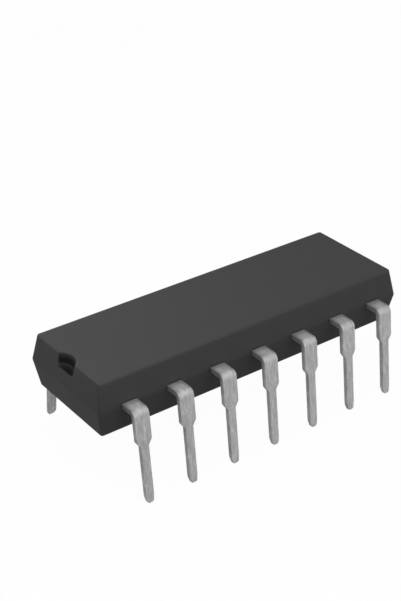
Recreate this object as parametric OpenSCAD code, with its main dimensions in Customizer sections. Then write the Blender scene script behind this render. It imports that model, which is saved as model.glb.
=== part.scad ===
// Dual in-line integrated circuit with 14 leads, as it is before it is put into a board.
// X runs along the body with the notch at the low end, Y across it and Z up.
// The origin is the middle of the lead pattern, on the surface that the lead tips stand on.
// Lead 1 is at the notch end on the low Y side, and the count runs anticlockwise from above.

/* [Moulded body] */
// Length of the body at the parting line
body_l = 18.55; // [18:0.05:19.6]
// Width of the body at the parting line
body_w = 6.12; // [5.9:0.05:7]
// Height of the upper half, from the parting line to the top face
upper_h = 1.42; // [1.2:0.02:1.9]
// Height of the lower half, from the parting line to the underside
lower_h = 1.46; // [1.2:0.02:1.9]
// Draft of the two ends, in degrees
end_draft = 8.5; // [4:0.5:14]
// Draft of the two long sides, in degrees
side_draft = 10.5; // [4:0.5:14]
// Radius of the four upright corners
corner_r = 0.16; // [0.12:0.01:0.5]
// Rounding of the edges round the top face and the underside
edge_r = 0.08; // [0.04:0.01:0.11]
// Height of the upright land on each side of the parting line
land_h = 0.02; // [0.01:0.01:0.1]

/* [Notch] */
// Width of the notch where it meets the edge of the top face
notch_w = 1.45; // [1.2:0.05:2.2]
// How far the notch reaches in from the edge of the top face
notch_reach = 0.38; // [0.3:0.01:0.7]
// Depth of the notch below the top face
notch_depth = 0.7; // [0.4:0.02:1.1]
// Draft of the notch wall, in degrees
notch_draft = 12; // [2:0.5:14]
// Fillet between the notch wall and its floor
notch_fillet = 0.15; // [0.05:0.01:0.2]

/* [Leads] */
// Distance between neighbouring leads
pitch = 2.54; // [2.4:0.01:2.6]
// Thickness of the lead frame
frame_t = 0.25; // [0.2:0.01:0.3]
// Height of the lead frame's middle plane above the lead tips
stand_h = 4.8; // [4.6:0.05:6]
// How far the outer face of a lead stands out from the body, at the height of the lead frame
lead_reach = 0.97; // [0.7:0.01:1.6]
// Angle that each row of leads leans outward, in degrees
splay = 6.8; // [0:0.1:12]
// Inner radius of the bend
bend_r = 0.08; // [0.05:0.01:0.2]
// Width of the broad upper part
shoulder_w = 0.82; // [0.7:0.01:1.5]
// Width of the narrow lower part
pin_w = 0.43; // [0.36:0.01:0.55]
// Length of the narrow part, from the tip to the taper
pin_l = 3.06; // [2.6:0.01:3.3]
// Length of the taper between the narrow and the broad part
taper_l = 0.3; // [0.1:0.01:0.4]
// Rounding where the broad part turns into that taper
shoulder_r = 0.2; // [0.05:0.01:0.3]
// Width of the tip's end, before its corners are rounded
tip_w = 0.36; // [0.3:0.01:0.4]
// Length over which the narrow part closes in to the tip's end
tip_l = 0.45; // [0.3:0.01:0.8]
// Rounding of the two corners at the tip
tip_r = 0.14; // [0.05:0.01:0.15]
// How far the tip is bevelled into its thickness, on the face towards the body
tip_bevel = 0.14; // [0.05:0.01:0.18]
// Length of that bevel up the lead
tip_bevel_l = 0.3; // [0.1:0.01:0.5]

/* [Lead frame inside the body] */
// Length of the pad under the chip
pad_l = 4; // [3.2:0.1:5]
// Width of the pad under the chip
pad_w = 2.7; // [2.2:0.1:3]
// How far the pad lies below the fingers
pad_drop = 0.25; // [0.15:0.01:0.4]
// Length over which each tie bar comes down to the pad
drop_run = 0.35; // [0.2:0.01:0.6]
// Width of the tie bars
tie_w = 0.3; // [0.2:0.01:0.4]
// Moulding left over the ends of the tie bars
tie_cover = 0.2; // [0.1:0.01:0.5]
// Width of a finger at its tip
finger_w = 0.35; // [0.25:0.01:0.4]
// Space between fingers, and between a finger and the pad or tie bar
finger_gap = 0.2; // [0.15:0.01:0.25]
// Straight stretch of each lead just inside the body
anchor_l = 0.6; // [0.45:0.01:0.8]
// Hole in that stretch, which the moulding fills to hold the lead
anchor_hole_d = 0.3; // [0.2:0.01:0.35]

/* [Chip and bond wires] */
// Length of the chip
die_l = 2; // [1.4:0.05:2.8]
// Width of the chip
die_w = 1.6; // [1.2:0.05:2]
// Thickness of the chip
die_h = 0.3; // [0.2:0.01:0.4]
// Thickness of the bonding layer under the chip
attach_t = 0.03; // [0.02:0.005:0.06]
// How far the bonding layer spreads past the chip
attach_edge = 0.06; // [0.02:0.01:0.1]
// Distance from the chip's edge to the middle of a bond pad
bond_inset = 0.12; // [0.08:0.01:0.2]
// Side of a bond pad
bond_size = 0.1; // [0.08:0.01:0.14]
// Height of a bond pad
bond_h = 0.01; // [0.005:0.005:0.02]
// Diameter of the bond wire
wire_d = 0.033; // [0.025:0.001:0.05]
// Diameter of the ball at the chip end of a wire
ball_d = 0.08; // [0.06:0.005:0.1]
// Height of that ball
ball_h = 0.02; // [0.015:0.005:0.03]
// Height of the wire loop above the chip
loop_h = 0.2; // [0.14:0.01:0.4]
// Radius of the bend at the top of the loop
loop_r = 0.06; // [0.04:0.01:0.1]
// Diameter of the flattened stitch at the finger end of a wire
stitch_d = 0.08; // [0.06:0.005:0.1]
// Thickness of that stitch
stitch_t = 0.02; // [0.015:0.005:0.03]
// Distance from the finger's tip to the stitch
stitch_inset = 0.15; // [0.1:0.01:0.25]

/* [Hidden] */
lead_count = 14;
row_count = lead_count / 2;

mould_color = [0.17, 0.17, 0.18];
tin_color = [0.72, 0.72, 0.71];
copper_color = [0.72, 0.5, 0.36];
attach_color = [0.6, 0.6, 0.58];
silicon_color = [0.3, 0.33, 0.4];
gold_color = [0.85, 0.68, 0.3];

round_fn = 48;
hull_fn = 32;
// Lets a cutter pass through the face that it opens
past = 0.5;

// The body's outline at the top face, where the drafted sides would meet it sharp
top_l = body_l - 2 * upper_h * tan(end_draft);

// The notch is cut by a drafted round pin, whose radius follows from its width and reach
notch_r = (notch_w * notch_w / 4 + notch_reach * notch_reach) / (2 * notch_reach);
notch_x = notch_reach - top_l / 2 - notch_r;

// The bend's centre, in the plane of the lead frame and with Y pointing outward
bend_z = -frame_t / 2 - bend_r;
bend_y = body_w / 2 + lead_reach - bend_z * tan(splay) - (bend_r + frame_t) / cos(splay);
// The leg runs from the end of the bend to where its tip meets the standing surface
leg_l = (stand_h + bend_z + (bend_r + tip_bevel) * sin(splay)) / cos(splay);
// From the bend's centre in to the middle of the anchored stretch
flat_l = bend_y - body_w / 2 + anchor_l / 2;

// Heights above the lead frame's middle plane
finger_top = frame_t / 2;
pad_top = finger_top - pad_drop;
die_base = pad_top + attach_t;
die_top = die_base + die_h;
bond_top = die_top + bond_h;

// The fingers end along the pad's long sides and, beside the tie bars, at its ends
anchor_y = body_w / 2 - anchor_l;
side_tip_y = pad_w / 2 + finger_gap;
end_tip_x = pad_l / 2 + finger_gap;
inner_lane_y = tie_w / 2 + finger_gap + finger_w / 2;
outer_lane_y = inner_lane_y + finger_gap + finger_w;

// Bond pads stand in a ring, just inside the chip's edge
bond_x = die_l / 2 - bond_inset;
bond_y = die_w / 2 - bond_inset;

function row_side(i) = i <= row_count ? -1 : 1;

// Place of a lead along its row, from -3 at the notch end to 3
function row_place(i) = i <= row_count ? i - (row_count + 1) / 2 : (3 * row_count + 1) / 2 - i;

function left_of(a, b) = let (d = (b - a) / norm(b - a)) [-d[1], d[0]];

function mitre(a, b) = (a + b) / (1 + a * b);

function edge_normal(pts, i) =
    i == 0 ? left_of(pts[0], pts[1]) :
    i == len(pts) - 1 ? left_of(pts[i - 1], pts[i]) :
    mitre(left_of(pts[i - 1], pts[i]), left_of(pts[i], pts[i + 1]));

// Outline of a strip that follows a line of points, with a width at each point
function strip(pts, widths) = concat(
    [for (i = [0:len(pts) - 1]) pts[i] + edge_normal(pts, i) * widths[i] / 2],
    [for (i = [len(pts) - 1:-1:0]) pts[i] - edge_normal(pts, i) * widths[i] / 2]
);

// A finger that ends beside the tie bar comes down at 45 degrees and then turns along its lane
function lane_path(x, lane_y) = [
    [x, body_w / 2],
    [x, anchor_y],
    [x - sign(x) * (anchor_y - lane_y), lane_y],
    [sign(x) * end_tip_x, lane_y]
];

// Middle line of a lead inside the body, from the body's side in to the fingertip
function lead_path(k) =
    abs(k) == 3 ? lane_path(k * pitch, inner_lane_y) :
    abs(k) == 2 ? lane_path(k * pitch, outer_lane_y) :
    [[k * pitch, body_w / 2], [k * pitch, anchor_y], [k * (pad_l - finger_w) / 2, side_tip_y]];

function lead_widths(k) =
    abs(k) >= 2 ? [shoulder_w, shoulder_w, finger_w, finger_w] : [shoulder_w, shoulder_w, finger_w];

// Middle of the bond pad that a lead is wired to
function bond_point(k) =
    abs(k) == 3 ? [sign(k) * bond_x, bond_y / 4] :
    abs(k) == 2 ? [sign(k) * bond_x, bond_y * 3 / 4] :
    [k * bond_x * 3 / 4, bond_y];

// Where the wire is stitched to the finger
function stitch_point(k) =
    let (pts = lead_path(k), tip = pts[len(pts) - 1], before = pts[len(pts) - 2])
    tip + (before - tip) / norm(before - tip) * stitch_inset;

module on_row(i) {
    if (row_side(i) < 0)
        mirror([0, 1, 0]) children();
    else
        children();
}

module at_frame_height() {
    translate([0, 0, stand_h]) children();
}

// One half of the moulding, drafted away from the parting line and rounded at its far face
module mould_half(h) {
    face_x = body_l / 2 - h * tan(end_draft) - corner_r;
    face_y = body_w / 2 - h * tan(side_draft) - corner_r;
    hull()
        for (sx = [-1, 1], sy = [-1, 1]) {
            translate([sx * (body_l / 2 - corner_r), sy * (body_w / 2 - corner_r), 0])
                cylinder(r = corner_r, h = land_h, $fn = hull_fn);
            translate([sx * face_x, sy * face_y, h - edge_r])
                rotate_extrude($fn = hull_fn)
                    translate([corner_r - edge_r, 0])
                        circle(r = edge_r, $fn = hull_fn);
        }
}

// The round pin that leaves the notch, narrower at its nose, with a fillet at its floor
module notch_pin() {
    nose_r = notch_r - notch_depth * tan(notch_draft);
    mouth_r = notch_r + past * tan(notch_draft);
    // The fillet's centre, from which it touches both the wall and the floor
    fillet_x = nose_r + notch_fillet * tan(notch_draft) - notch_fillet / cos(notch_draft);
    fillet_z = notch_fillet - notch_depth;
    touch = notch_fillet * [cos(notch_draft), -sin(notch_draft)];
    translate([notch_x, 0, upper_h])
        rotate_extrude($fn = round_fn) {
            polygon([
                [0, past],
                [mouth_r, past],
                [fillet_x, fillet_z] + touch,
                [fillet_x, fillet_z],
                [0, fillet_z]
            ]);
            translate([0, -notch_depth]) square([fillet_x, notch_fillet]);
            translate([fillet_x, fillet_z])
                intersection() {
                    circle(r = notch_fillet, $fn = round_fn);
                    translate([0, -notch_fillet]) square(notch_fillet);
                }
        }
}

// Seen from the side, all that lies behind a face that runs out flat and then turns down.
// The bend's centre is at zero, and the leg's end is left to its front view.
module behind_turn(r, spare) {
    turn_end = r * [cos(splay), sin(splay)];
    leg_end = turn_end + (leg_l + past) * [sin(splay), -cos(splay)];
    circle(r = r, $fn = round_fn);
    polygon([
        [-flat_l - spare, r],
        [0, r],
        turn_end,
        leg_end,
        [-flat_l - spare, leg_end[1]]
    ]);
}

// Side view of a lead from its anchored stretch to its tip, which is bevelled on the inner side
module lead_side_view() {
    difference() {
        behind_turn(bend_r + frame_t, 0);
        behind_turn(bend_r, past);
        rotate(splay)
            translate([bend_r, -leg_l])
                polygon([[-tip_bevel, 0], [tip_bevel, 0], [-tip_bevel, 2 * tip_bevel_l]]);
    }
}

// Right-hand edge of a leg seen from the front, from its tip up, with its roundings cut off flat
function leg_edge() =
    let (
        tip_lean = atan2((pin_w - tip_w) / 2, tip_l),
        taper_lean = atan2((shoulder_w - pin_w) / 2, taper_l),
        shoulder = [shoulder_w / 2, pin_l + taper_l],
        cut = shoulder_r * tan(taper_lean / 2)
    ) [
        [tip_middle(), tip_r] + tip_r * [cos(tip_lean), -sin(tip_lean)],
        [pin_w / 2, tip_l],
        [pin_w / 2, pin_l],
        shoulder - cut * [sin(taper_lean), cos(taper_lean)],
        shoulder + [0, cut],
        [shoulder_w / 2, leg_l + flat_l]
    ];

// Distance of a tip rounding's centre from the leg's middle line
function tip_middle() =
    let (lean = atan2((pin_w - tip_w) / 2, tip_l))
    tip_w / 2 + tip_r * tan(lean) - tip_r / cos(lean);

// Front view of a leg, with the end of its tip at zero
module leg_front_view() {
    edge = leg_edge();
    last = len(edge) - 1;
    polygon(concat(edge, [for (i = [last:-1:0]) [-edge[i][0], edge[i][1]]]));
    translate([-tip_middle(), 0]) square([2 * tip_middle(), tip_r]);
    for (s = [-1, 1]) {
        translate([s * tip_middle(), tip_r])
            circle(r = tip_r, $fn = round_fn);
        translate([s * (shoulder_w / 2 - shoulder_r), edge[4][1]])
            circle(r = shoulder_r, $fn = round_fn);
    }
}

// A lead from its anchored stretch to its tip: the side view, cut to the leg's front view
module lead_leg() {
    outer = bend_r + frame_t + past;
    translate([0, bend_y, bend_z])
        intersection() {
            rotate([90, 0, 90])
                linear_extrude(shoulder_w + 2 * past, center = true)
                    lead_side_view();
            rotate([splay, 0, 0])
                translate([0, outer, -leg_l])
                    rotate([90, 0, 0])
                        linear_extrude(outer + flat_l + past)
                            leg_front_view();
        }
}

// The anchored stretch of a lead and its finger
module lead_finger(k) {
    translate([0, 0, -frame_t / 2])
        linear_extrude(frame_t)
            polygon(strip(lead_path(k), lead_widths(k)));
}

module lead_solid(i) {
    k = row_place(i);
    on_row(i)
        difference() {
            union() {
                lead_finger(k);
                translate([k * pitch, 0, 0]) lead_leg();
            }
            translate([k * pitch, body_w / 2 - anchor_l / 2, -frame_t])
                cylinder(d = anchor_hole_d, h = 2 * frame_t, $fn = round_fn);
        }
}

// The pad and the two tie bars that carry it, stepped down below the fingers
module pad_solid() {
    low = pad_top - frame_t;
    bar_end = body_l / 2 - tie_cover;
    translate([-pad_l / 2, -pad_w / 2, low]) cube([pad_l, pad_w, frame_t]);
    for (s = [0, 1])
        mirror([s, 0, 0])
            translate([0, tie_w / 2, 0])
                rotate([90, 0, 0])
                    linear_extrude(tie_w)
                        polygon([
                            [0, low],
                            [pad_l / 2, low],
                            [pad_l / 2 + drop_run, -frame_t / 2],
                            [bar_end, -frame_t / 2],
                            [bar_end, finger_top],
                            [pad_l / 2 + drop_run, finger_top],
                            [pad_l / 2, pad_top],
                            [0, pad_top]
                        ]);
}

module attach_solid() {
    translate([-die_l / 2 - attach_edge, -die_w / 2 - attach_edge, pad_top])
        cube([die_l + 2 * attach_edge, die_w + 2 * attach_edge, attach_t]);
}

module die_solid() {
    translate([-die_l / 2, -die_w / 2, die_base]) cube([die_l, die_w, die_h]);
    for (i = [1:lead_count])
        on_row(i)
            translate(concat(bond_point(row_place(i)) - [bond_size, bond_size] / 2, die_top))
                cube([bond_size, bond_size, bond_h]);
}

// A ball on the bond pad, a short rise, a round turn and a straight run down to the stitch
module wire_solid(i) {
    k = row_place(i);
    from = bond_point(k);
    to = stitch_point(k);
    span = norm(to - from);
    heading = atan2(to[1] - from[1], to[0] - from[0]);
    // In the wire's own plane, from the middle of the turn to the stitch
    turn_z = loop_h - loop_r;
    drop = turn_z + bond_top - finger_top - wire_d / 2;
    far = norm([span - loop_r, drop]);
    run_l = sqrt(far * far - loop_r * loop_r);
    start_angle = acos(loop_r / far) - atan2(drop, span - loop_r);
    on_row(i)
        translate(concat(from, bond_top))
            rotate([0, 0, heading]) {
                cylinder(d = ball_d, h = ball_h, $fn = round_fn);
                cylinder(d = wire_d, h = turn_z, $fn = round_fn);
                translate([loop_r, 0, turn_z])
                    rotate([90, 0, 0]) {
                        rotate([0, 0, start_angle])
                            rotate_extrude(angle = 180 - start_angle, $fn = round_fn)
                                translate([loop_r, 0])
                                    circle(d = wire_d, $fn = round_fn);
                        rotate([0, 0, start_angle])
                            translate([loop_r, 0, 0])
                                rotate([90, 0, 0])
                                    cylinder(d = wire_d, h = run_l, $fn = round_fn);
                    }
                translate([span, 0, finger_top - bond_top])
                    cylinder(d = stitch_d, h = stitch_t, $fn = round_fn);
            }
}

// The moulding, with the room that the pieces cast into it take up
module moulded_body() {
    color(mould_color)
        at_frame_height()
            difference() {
                union() {
                    mould_half(upper_h);
                    mirror([0, 0, 1]) mould_half(lower_h);
                }
                notch_pin();
                pad_solid();
                attach_solid();
                die_solid();
                for (i = [1:lead_count]) {
                    lead_solid(i);
                    wire_solid(i);
                }
            }
}

module die_pad() {
    color(copper_color) at_frame_height() pad_solid();
}

module die_attach() {
    color(attach_color) at_frame_height() attach_solid();
}

module die() {
    color(silicon_color) at_frame_height() die_solid();
}

module lead(i) {
    color(tin_color) at_frame_height() lead_solid(i);
}

module bond_wire(i) {
    color(gold_color) at_frame_height() wire_solid(i);
}

moulded_body();
die_pad();
die_attach();
die();
for (i = [1:lead_count]) lead(i);
for (i = [1:lead_count]) bond_wire(i);
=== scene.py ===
"""Looks of a dual in-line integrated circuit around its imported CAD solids.

The CAD solids carry all the shapes. This file gives them their fine edges, their materials,
the light and the camera. Lengths are in metres unless a name or a comment says otherwise.
"""
import math

import bpy
from mathutils import Matrix, Vector


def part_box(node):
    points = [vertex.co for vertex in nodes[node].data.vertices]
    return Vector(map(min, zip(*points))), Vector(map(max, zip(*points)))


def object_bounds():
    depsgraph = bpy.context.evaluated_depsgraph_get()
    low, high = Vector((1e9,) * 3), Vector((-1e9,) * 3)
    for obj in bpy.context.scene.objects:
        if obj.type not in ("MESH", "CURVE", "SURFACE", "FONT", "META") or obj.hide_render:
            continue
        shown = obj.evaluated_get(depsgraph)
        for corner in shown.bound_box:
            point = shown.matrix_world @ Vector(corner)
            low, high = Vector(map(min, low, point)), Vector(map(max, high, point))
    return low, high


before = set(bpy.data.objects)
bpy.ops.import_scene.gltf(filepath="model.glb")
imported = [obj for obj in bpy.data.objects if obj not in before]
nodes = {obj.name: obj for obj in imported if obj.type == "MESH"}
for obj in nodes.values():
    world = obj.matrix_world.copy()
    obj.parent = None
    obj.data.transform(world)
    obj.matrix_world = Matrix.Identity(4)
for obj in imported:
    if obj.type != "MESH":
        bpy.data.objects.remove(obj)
cad_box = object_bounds()
MM = 0.001

LEADS = [name for name in sorted(nodes) if name.startswith("lead_")]
WIRES = [name for name in sorted(nodes) if name.startswith("bond_wire_")]

# Camera, fitted to the photograph together with the sizes of the body and its leads. Its
# angles are in degrees, and its heading turns from +Y towards +X
PHOTO_HEIGHT_PX = 601
FOCAL_LENGTH_PX = 1278
SENSOR_HEIGHT_MM = 24
CAMERA_PLACE = Vector((-33.995, -44.037, 38.285)) * MM
CAMERA_HEADING = 36.62
CAMERA_DOWN = 29.96
CAMERA_ROLL = -0.2
NEAREST_SEEN = 1 * MM
FURTHEST_SEEN = 5

# The round pin that leaves the notch: its axis, its radius at the top face, draft and depth
NOTCH_X = -9.564 * MM
NOTCH_R = 0.882 * MM
NOTCH_DRAFT = math.radians(12)
NOTCH_DEPTH = 0.7 * MM
# The body's end at the notch's floor. The notch has this share of its painted shade there, and
# all of it this far in
END_X = -9.167 * MM
MOUTH_SHARE = 0.5
MOUTH_REACH = 0.1 * MM
# Painted shade on the notch's wall and floor by depth in mm, and a painted highlight ring low on
# it
PAINTED_NOTCH_SHADE = ((0, 0.35), (0.3, 1.0), (0.44, 1.0), (0.56, 0.4), (0.66, 1.0))

# The leads' pitch, and half the width of a lead's broad part
PITCH = 2.54 * MM
SHOULDER_HALF = 0.41 * MM
# How far out from the body shade is painted on a lead: over the width of its root,
# and along its sides, where it starts to fade before its end. Both end raggedly
ROOT_SHADE_END = 0.35 * MM
SIDE_SHADE_FADES = 0.7 * MM
SIDE_SHADE_END = 0.97 * MM
RAGGED_BY = 0.04 * MM
# How much of the very sides the painted shade covers
SIDE_SHADE_COVER = 0.8

# Height of the metal pads on top of the chip
CHIP_PAD_HEIGHT = 0.01 * MM

# The surround that the object mirrors, at headings in degrees from +Y towards +X: bright in
# front and behind, and dim at the object's two ends
BRIGHT = 1.2
DIM = 0.16
SURROUND = (
    (-180, BRIGHT),
    (-150, BRIGHT),
    (-100, DIM),
    (-60, DIM),
    (-20, BRIGHT),
    (15, BRIGHT),
    (45, DIM),
    (70, DIM),
    (110, BRIGHT),
    (180, BRIGHT),
)
# The heights on a sphere of radius 1 between which it changes to what is overhead
OVERHEAD_STARTS = 0.3
OVERHEAD_FULL = 0.9

# Fine edges that stamping leaves
LEAD_EDGE = 0.04 * MM
FRAME_EDGE = 0.012 * MM
EDGE_SEGMENTS = 3
WELD_REACH = 0.0005 * MM
HARD_EDGE = math.radians(25)
# How much large faces decide the normals beside them, where 50 goes by their area alone
LARGE_FACE_WEIGHT = 80

# Where nearly all values of a noise lie, which runs from 0 to 1
NOISE_LOW = 0.3
NOISE_HIGH = 0.7


# Fine edges
def drop_stored_normals(piece):
    """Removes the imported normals, so that the modifiers' own count."""
    stored = piece.data.attributes.get("custom_normal")
    if stored:
        piece.data.attributes.remove(stored)


def add_weld(piece):
    """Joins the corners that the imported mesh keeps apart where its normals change."""
    weld = piece.modifiers.new("join_corners", "WELD")
    weld.merge_threshold = WELD_REACH


def add_bevel(piece, width):
    """Rounds each hard edge by a width that short edges may limit."""
    bevel = piece.modifiers.new("broken_edges", "BEVEL")
    bevel.limit_method = "ANGLE"
    bevel.angle_limit = HARD_EDGE
    bevel.width = width
    bevel.segments = EDGE_SEGMENTS
    bevel.use_clamp_overlap = True


def hard_edge_group():
    """Geometry nodes that mark each edge sharper than HARD_EDGE, and leave the others smooth."""
    group = bpy.data.node_groups.new("hard_edges", "GeometryNodeTree")
    for way in ("INPUT", "OUTPUT"):
        group.interface.new_socket("Geometry", in_out=way, socket_type="NodeSocketGeometry")
    add = group.nodes.new
    start = add("NodeGroupInput")
    end = add("NodeGroupOutput")
    angle = add("GeometryNodeInputMeshEdgeAngle")
    sharper = add("FunctionNodeCompare")
    sharper.operation = "GREATER_THAN"
    sharper.inputs["B"].default_value = HARD_EDGE
    smooth_faces = add("GeometryNodeSetShadeSmooth")
    smooth_faces.domain = "FACE"
    sharp_edges = add("GeometryNodeSetShadeSmooth")
    sharp_edges.domain = "EDGE"
    sharp_edges.inputs["Shade Smooth"].default_value = False
    link = group.links.new
    link(start.outputs["Geometry"], smooth_faces.inputs["Geometry"])
    link(smooth_faces.outputs["Geometry"], sharp_edges.inputs["Geometry"])
    link(angle.outputs["Unsigned Angle"], sharper.inputs["A"])
    link(sharper.outputs["Result"], sharp_edges.inputs["Selection"])
    link(sharp_edges.outputs["Geometry"], end.inputs["Geometry"])
    return group


HARD_EDGES = hard_edge_group()


def add_even_normals(piece):
    """Keeps flat faces flat and lets the narrow strips between them turn the light."""
    marks = piece.modifiers.new("hard_edges", "NODES")
    marks.node_group = HARD_EDGES
    normals = piece.modifiers.new("even_normals", "WEIGHTED_NORMAL")
    normals.mode = "FACE_AREA"
    normals.weight = LARGE_FACE_WEIGHT
    normals.keep_sharp = True


# Materials
def grey(value):
    """A neutral colour."""
    return (value, value, value)


class ShaderTree:
    """A shader node tree, with short ways to add to it."""

    def __init__(self, tree):
        self.tree = tree

    def add(self, kind):
        return self.tree.nodes.new(kind)

    def feed(self, socket, value):
        """Links an output to a socket, or writes a number or a colour to it."""
        if isinstance(value, bpy.types.NodeSocket):
            self.tree.links.new(value, socket)
        elif isinstance(value, tuple):
            socket.default_value = (*value, 1)
        else:
            socket.default_value = value

    def compute(self, operation, *values):
        """The result of an operation on one to three values, each an output or a number."""
        node = self.add("ShaderNodeMath")
        node.operation = operation
        for socket, value in zip(node.inputs, values):
            self.feed(socket, value)
        return node.outputs["Value"]

    def spread(self, value, low, high, start=NOISE_LOW, end=NOISE_HIGH):
        """A value from low to high as the input, by default a noise, goes from start to end."""
        node = self.add("ShaderNodeMapRange")
        self.feed(node.inputs["Value"], value)
        self.feed(node.inputs["From Min"], start)
        self.feed(node.inputs["From Max"], end)
        self.feed(node.inputs["To Min"], low)
        self.feed(node.inputs["To Max"], high)
        return node.outputs["Result"]

    def steps(self, value, stops):
        """A value that runs through stops, each one an input from 0 to 1 and its output."""
        node = self.add("ShaderNodeValToRGB")
        self.feed(node.inputs["Fac"], value)
        points = node.color_ramp.elements
        while len(points) < len(stops):
            points.new(0.5)
        for point, (position, number) in zip(points, stops):
            point.position = position
            point.color = (*grey(number), 1)
        return node.outputs["Color"]

    def split(self, vector):
        """The X, Y and Z of a vector."""
        node = self.add("ShaderNodeSeparateXYZ")
        self.feed(node.inputs["Vector"], vector)
        return [node.outputs[axis] for axis in "XYZ"]

    def blend(self, factor, first, second):
        """Mixes two colours, each an output or a tuple."""
        node = self.add("ShaderNodeMix")
        node.data_type = "RGBA"
        self.feed(node.inputs["Factor"], factor)
        self.feed(node.inputs[6], first)
        self.feed(node.inputs[7], second)
        return node.outputs[2]

    def rays(self, *names):
        """1 for the kinds of ray named, such as Camera and Transmission, and 0 for the others."""
        path = self.add("ShaderNodeLightPath")
        kinds = [path.outputs["Is %s Ray" % name] for name in names]
        either = kinds[0]
        for kind in kinds[1:]:
            either = self.compute("MAXIMUM", either, kind)
        return either

    def white_light(self, kind, strength):
        """White from a Background or an Emission node."""
        node = self.add(kind)
        self.feed(node.inputs["Color"], grey(1.0))
        self.feed(node.inputs["Strength"], strength)
        return node.outputs[0]

    def mix_shaders(self, share, first, second):
        """The first shader, with the second in its place for this share."""
        node = self.add("ShaderNodeMixShader")
        for socket, value in zip(node.inputs, (share, first, second)):
            self.feed(socket, value)
        return node.outputs["Shader"]


class Shader(ShaderTree):
    """A material's nodes, with one Principled shader and its coordinates."""

    def __init__(self, name):
        self.material = bpy.data.materials.new(name)
        self.material.use_nodes = True
        super().__init__(self.material.node_tree)
        self.main = self.tree.nodes["Principled BSDF"]
        self.place = self.add("ShaderNodeTexCoord").outputs["Object"]

    def noise(self, sizes, detail=2.0, roughness=0.5):
        """Noise whose grains are this long along X, Y and Z."""
        scale = self.add("ShaderNodeMapping")
        scale.inputs["Scale"].default_value = [1 / size for size in sizes]
        self.feed(scale.inputs["Vector"], self.place)
        noise = self.add("ShaderNodeTexNoise")
        noise.inputs["Scale"].default_value = 1
        noise.inputs["Detail"].default_value = detail
        noise.inputs["Roughness"].default_value = roughness
        self.feed(noise.inputs["Vector"], scale.outputs["Vector"])
        return noise.outputs["Fac"]

    def bump(self, height, depth, under=None):
        """Bump whose full height is depth, over the normal called under if there is one."""
        node = self.add("ShaderNodeBump")
        node.inputs["Distance"].default_value = depth
        self.feed(node.inputs["Height"], height)
        if under:
            self.feed(node.inputs["Normal"], under)
        return node.outputs["Normal"]

    def soft_corners(self, radius, samples=8):
        """A normal that turns gradually over every corner, as on a worn mould."""
        node = self.add("ShaderNodeBevel")
        node.samples = samples
        node.inputs["Radius"].default_value = radius
        return node.outputs["Normal"]

    def set(self, **values):
        """Sets sockets of the Principled shader by name, with _ for each space."""
        for name, value in values.items():
            self.feed(self.main.inputs[name.replace("_", " ")], value)


def painted_notch_shade(m):
    """Painted shade in the notch's recess, by depth, less at its mouth, and 0 outside it."""
    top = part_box("moulded_body")[1].z
    slack = 0.01 * MM
    x, y, z = m.split(m.place)
    from_axis = m.compute("SUBTRACT", x, NOTCH_X)
    squares = m.compute("MULTIPLY_ADD", y, y, m.compute("MULTIPLY", from_axis, from_axis))
    radius = m.compute("SQRT", squares)
    # The wall's radius grows with height, so the height's share is taken off before comparing
    growth = math.tan(NOTCH_DRAFT)
    without_height = m.compute("MULTIPLY_ADD", z, -growth, radius)
    within = m.compute("LESS_THAN", without_height, NOTCH_R - top * growth + slack)
    above = m.compute("GREATER_THAN", z, top - NOTCH_DEPTH - slack)
    inward = m.spread(x, MOUTH_SHARE, 1, END_X, END_X + MOUTH_REACH)
    depth = m.spread(z, 0, 1, top, top - NOTCH_DEPTH)
    downward = m.steps(depth, [(at * MM / NOTCH_DEPTH, tone) for at, tone in PAINTED_NOTCH_SHADE])
    inside = m.compute("MULTIPLY", within, above)
    return m.compute("MULTIPLY", inside, m.compute("MULTIPLY", inward, downward))


def mould_compound():
    """Filled epoxy: a dull dark skin with the fine spark-eroded grain of the mould.

    The notch is painted darker as painted shade in its recess, with a painted highlight ring low
    on its wall, and it mirrors less there.
    """
    m = Shader("mould_compound")
    cloud = m.noise([2.2 * MM] * 3, detail=3)
    grain = m.noise([0.09 * MM] * 3, detail=3, roughness=0.6)
    pits = m.noise([0.3 * MM] * 3)
    tone = m.blend(m.spread(grain, 0, 1), grey(0.05), grey(0.06))
    tone = m.blend(m.spread(cloud, 0, 0.5), tone, grey(0.057))
    # Painted shade in the notch: a near-black tone and weaker reflection, with a painted
    # highlight ring
    shade = painted_notch_shade(m)
    tone = m.blend(shade, tone, grey(0.004))
    m.set(Base_Color=tone, Roughness=m.spread(cloud, 0.52, 0.58))
    m.set(Specular_IOR_Level=m.spread(shade, 0.25, 0.16, 0, 1))
    fine = m.bump(grain, 0.004 * MM, m.soft_corners(0.18 * MM))
    m.set(Normal=m.bump(pits, 0.006 * MM, fine))
    return m.material


def painted_lead_shade(m):
    """Painted shade on a lead near the body: across its root, and along its sides there."""
    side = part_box("moulded_body")[1].y
    x, y = m.split(m.place)[:2]
    ragged = m.spread(m.noise([0.15 * MM] * 3), -RAGGED_BY, RAGGED_BY)
    out = m.compute("ADD", m.compute("ABSOLUTE", y), ragged)
    # The leads' middles lie at whole pitches on either side of X = 0
    beside = m.compute("PINGPONG", x, PITCH / 2)
    root_shading = m.spread(out, 1, 0, side, side + ROOT_SHADE_END)
    near_edge = m.spread(beside, 0, SIDE_SHADE_COVER, SHOULDER_HALF / 2, SHOULDER_HALF)
    before_bend = m.spread(out, 1, 0, side + SIDE_SHADE_FADES, side + SIDE_SHADE_END)
    return root_shading, m.compute("MULTIPLY", near_edge, before_bend)


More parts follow.
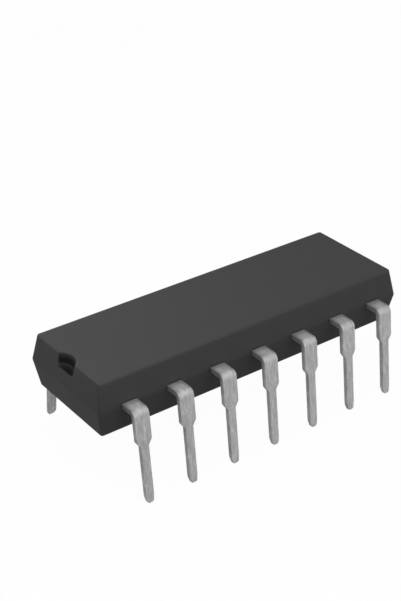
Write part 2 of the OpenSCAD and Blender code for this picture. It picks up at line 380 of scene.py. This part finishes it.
def tin_plate():
    """Matt tin over a stamped lead, with faint streaks along it and a little mottling.

    Each lead is painted darker where it leaves the body, across its root and along its sides
    there, as painted shade.
    """
    m = Shader("tin_plate")
    streaks = m.noise([0.08 * MM, 0.5 * MM, 0.6 * MM], detail=3, roughness=0.7)
    mottle = m.noise([0.14 * MM, 0.2 * MM, 0.2 * MM], detail=3)
    tone = m.blend(m.spread(streaks, 0, 1, 0.35, 0.65), grey(0.46), grey(0.76))
    tone = m.blend(m.spread(mottle, 0, 0.7), tone, grey(0.57))
    # Painted shade near the body: grey over the root and darker along the sides
    root_shading, side_shading = painted_lead_shade(m)
    tone = m.blend(root_shading, tone, grey(0.4))
    tone = m.blend(side_shading, tone, grey(0.28))
    m.set(Base_Color=tone, Metallic=1.0, Roughness=m.spread(mottle, 0.7, 0.8))
    m.set(Normal=m.bump(streaks, 0.008 * MM))
    return m.material


def frame_metal():
    """Bare rolled copper alloy, with rolling marks along the strip."""
    m = Shader("frame_metal")
    rolling = m.noise([1.5 * MM, 0.05 * MM, 0.05 * MM])
    tone = m.blend(m.spread(rolling, 0, 1), (0.68, 0.4, 0.27), (0.76, 0.49, 0.36))
    m.set(Base_Color=tone, Metallic=1.0, Roughness=m.spread(rolling, 0.28, 0.4))
    m.set(Normal=m.bump(rolling, 0.001 * MM))
    return m.material


def bonding_paste():
    """Cured paste, grey with bright flakes."""
    m = Shader("bonding_paste")
    flakes = m.noise([0.03 * MM] * 3)
    tone = m.blend(m.spread(flakes, 0, 1), grey(0.38), (0.612, 0.6, 0.588))
    m.set(Base_Color=tone, Metallic=0.3, Roughness=m.spread(flakes, 0.45, 0.7))
    m.set(Normal=m.bump(flakes, 0.003 * MM))
    return m.material


def chip_blocks(m):
    """The fine blocks of a chip's circuits, with their sizes in mm."""
    blocks = m.add("ShaderNodeTexBrick")
    for name, value in (
        ("Vector", m.place),
        ("Scale", 1 / MM),
        ("Brick Width", 0.22),
        ("Row Height", 0.13),
        ("Mortar Size", 0.012),
        ("Color1", (0.13, 0.15, 0.2)),
        ("Color2", (0.2, 0.18, 0.22)),
        ("Mortar", (0.35, 0.36, 0.38)),
    ):
        m.feed(blocks.inputs[name], value)
    return blocks.outputs["Color"]


def silicon():
    """Polished silicon: the top carries fine blocks, and what stands above it is metal."""
    m = Shader("silicon")
    chip_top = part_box("die")[1].z - CHIP_PAD_HEIGHT
    z = m.split(m.place)[2]
    on_top = m.compute("GREATER_THAN", z, chip_top - CHIP_PAD_HEIGHT / 2)
    on_pads = m.compute("GREATER_THAN", z, chip_top + CHIP_PAD_HEIGHT / 2)
    tone = m.blend(on_top, (0.16, 0.17, 0.19), chip_blocks(m))
    tone = m.blend(on_pads, tone, (0.75, 0.76, 0.78))
    haze = m.noise([0.4 * MM] * 3)
    m.set(Base_Color=tone, Metallic=0.6, Roughness=m.spread(haze, 0.12, 0.2))
    return m.material


def gold_wire():
    """Drawn gold, with faint die lines."""
    m = Shader("bond_wire")
    lines = m.noise([0.02 * MM] * 3)
    tone = m.blend(m.spread(lines, 0, 1), (0.8, 0.58, 0.2), (0.9, 0.7, 0.3))
    m.set(Base_Color=tone, Metallic=1.0, Roughness=m.spread(lines, 0.2, 0.3))
    return m.material


def dress(names, material, edge=None):
    """Gives nodes a material and even normals, and broken edges of this width if there is one."""
    for name in names:
        piece = nodes[name]
        for slot in piece.material_slots:
            slot.material = material
        drop_stored_normals(piece)
        add_weld(piece)
        if edge:
            add_bevel(piece, edge)
        add_even_normals(piece)


# Light
def surround(sky, direction, overhead):
    """Brightness of what the object mirrors in a direction, with overhead for the highest."""
    x, y, z = sky.split(direction)
    heading = sky.compute("ARCTAN2", x, y)
    turn = sky.spread(heading, 0, 1, -math.pi, math.pi)
    around = sky.steps(turn, [((at + 180) / 360, tone) for at, tone in SURROUND])
    mix = sky.add("ShaderNodeMix")
    sky.feed(mix.inputs["Factor"], sky.spread(z, 0, 1, OVERHEAD_STARTS, OVERHEAD_FULL))
    sky.feed(mix.inputs["A"], around)
    sky.feed(mix.inputs["B"], overhead)
    return mix.outputs["Result"]


def make_world(dome, overhead):
    """A white background, an even dome that lights the object, and a surround that it mirrors."""
    world = bpy.data.worlds.new("studio")
    bpy.context.scene.world = world
    world.use_nodes = True
    world.node_tree.nodes.clear()
    sky = ShaderTree(world.node_tree)
    direction = sky.add("ShaderNodeTexCoord").outputs["Generated"]
    lit = sky.white_light("ShaderNodeBackground", dome)
    mirrored = sky.white_light("ShaderNodeBackground", surround(sky, direction, overhead))
    seen = sky.white_light("ShaderNodeBackground", 1)
    shown = sky.mix_shaders(sky.rays("Glossy"), lit, mirrored)
    shown = sky.mix_shaders(sky.rays("Camera", "Transmission"), shown, seen)
    sky.feed(sky.add("ShaderNodeOutputWorld").inputs["Surface"], shown)


def floor_paint(colour, paper, mirrored):
    """White in view, where the share called paper takes the object's shadow.

    The object is lit by it as by a surface of this colour, and mirrors it in the tone mirrored.
    """
    material = bpy.data.materials.new("floor")
    material.use_nodes = True
    material.node_tree.nodes.clear()
    paint = ShaderTree(material.node_tree)
    in_view = paint.rays("Camera", "Transmission")
    matt = paint.add("ShaderNodeBsdfDiffuse")
    paint.feed(matt.inputs["Color"], paint.blend(in_view, grey(colour), grey(1.0)))
    white_share = paint.compute("MULTIPLY", in_view, 1 - paper)
    white = paint.white_light("ShaderNodeEmission", 1)
    shown = paint.mix_shaders(white_share, matt.outputs["BSDF"], white)
    mirror_tone = paint.white_light("ShaderNodeEmission", mirrored)
    shown = paint.mix_shaders(paint.rays("Glossy"), shown, mirror_tone)
    paint.feed(paint.add("ShaderNodeOutputMaterial").inputs["Surface"], shown)
    return material


def add_object(name, data):
    """A new object in the scene, for a mesh, a lamp or a camera."""
    piece = bpy.data.objects.new(name, data)
    bpy.context.scene.collection.objects.link(piece)
    return piece


def make_floor(reach, colour, paper, mirrored):
    """A square floor that reaches this far from the middle, with the tones of floor_paint."""
    corners = [(-reach, -reach, 0), (reach, -reach, 0), (reach, reach, 0), (-reach, reach, 0)]
    mesh = bpy.data.meshes.new("floor")
    mesh.from_pydata(corners, [], [(0, 1, 2, 3)])
    mesh.materials.append(floor_paint(colour, paper, mirrored))
    floor = add_object("floor", mesh)


def soft_light(name, place, target, side, radiance):
    """A square light at place, facing target, as bright as radiance whatever its size."""
    lamp = bpy.data.lights.new(name, "AREA")
    lamp.shape = "SQUARE"
    lamp.size = side
    lamp.energy = radiance * math.pi * side * side
    piece = add_object(name, lamp)
    piece.location = place
    piece.rotation_euler = (target - place).to_track_quat("-Z", "Y").to_euler()


# Camera
def make_camera():
    """The photograph's own view."""
    camera = bpy.data.cameras.new("camera")
    camera.sensor_fit = "VERTICAL"
    camera.sensor_height = SENSOR_HEIGHT_MM
    camera.lens = FOCAL_LENGTH_PX * SENSOR_HEIGHT_MM / PHOTO_HEIGHT_PX
    camera.clip_start = NEAREST_SEEN
    camera.clip_end = FURTHEST_SEEN
    piece = add_object("camera", camera)
    turn = Matrix.Rotation(math.radians(-CAMERA_HEADING), 4, "Z")
    tilt = Matrix.Rotation(math.radians(90 - CAMERA_DOWN), 4, "X")
    roll = Matrix.Rotation(math.radians(CAMERA_ROLL), 4, "Z")
    piece.matrix_world = Matrix.Translation(CAMERA_PLACE) @ turn @ tilt @ roll
    bpy.context.scene.camera = piece


dress(["moulded_body"], mould_compound())
dress(LEADS, tin_plate(), LEAD_EDGE)
dress(["die_pad"], frame_metal(), FRAME_EDGE)
dress(["die_attach"], bonding_paste())
dress(["die"], silicon())
dress(WIRES, gold_wire())

middle = (cad_box[0] + cad_box[1]) / 2
top_at_notch = Vector((cad_box[0].x, 0, cad_box[1].z))
make_world(dome=0.52, overhead=0.6)
make_floor(reach=1.0, colour=0.18, paper=0.03, mirrored=0.46)
soft_light("top", Vector((-14, 2, 20)) * MM, top_at_notch, side=17 * MM, radiance=0.95)
soft_light("front", Vector((-6, -45, 60)) * MM, middle, side=70 * MM, radiance=0.88)
make_camera()
bpy.context.scene.view_settings.view_transform = "Standard"

bpy.context.view_layer.update()
